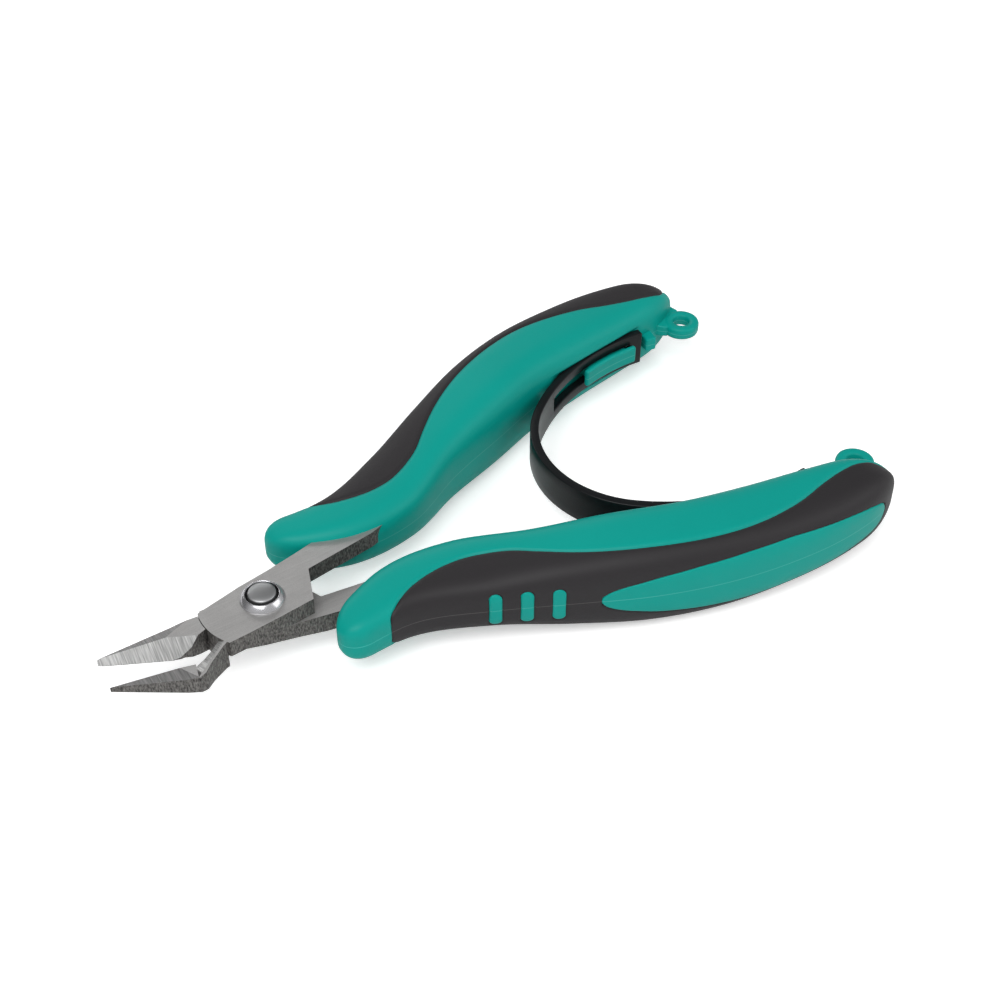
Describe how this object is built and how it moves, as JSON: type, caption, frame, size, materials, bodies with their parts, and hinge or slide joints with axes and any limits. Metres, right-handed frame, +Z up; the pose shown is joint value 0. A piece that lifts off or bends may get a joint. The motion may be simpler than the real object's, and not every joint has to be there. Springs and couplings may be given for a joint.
{
  "type": "flat nose pliers",
  "caption": "Fine-nosed flat jaw pliers for jewellery making, with lapped steel levers, soft two-colour handles and a leaf spring that opens them.",
  "frame": {"origin": "centre of the bounding box in X and Y, at the bottom of the handles", "axes": "+X along the tool from the jaws to the hang loops, +Y across it towards the handle of the upper lever, +Z up out of the plane the tool lies on and parallel to the pivot"},
  "size_m": [0.1362, 0.0774, 0.0166],
  "materials": {
    "lever_steel": "ground satin faces, matte blanked edges",
    "pin_steel": "turned and domed",
    "collar_steel": "polished",
    "core_plastic": "teal hard plastic, fine satin",
    "skin_rubber": "matte black soft overmould",
    "spring_plastic": "black, satin"
  },
  "bodies": {
    "back": {"lever_a": "lever_steel", "pivot_pin": "pin_steel", "pivot_collar": "collar_steel", "handle_core_back": "core_plastic", "handle_skin_back": "skin_rubber", "leaf_spring": "spring_plastic"},
    "front": {"lever_b": "lever_steel", "handle_core_front": "core_plastic", "handle_skin_front": "skin_rubber"}
  },
  "joints": [
    {"name": "pivot", "type": "hinge", "parent": "back", "child": "front", "pos_m": [-0.0404, 0, 0.00831], "axis": [0, 0, 1], "range_deg": [-2, 11.2], "stiffness_Nm_per_rad": 1, "deforming": ["leaf_spring"]}
  ]
}
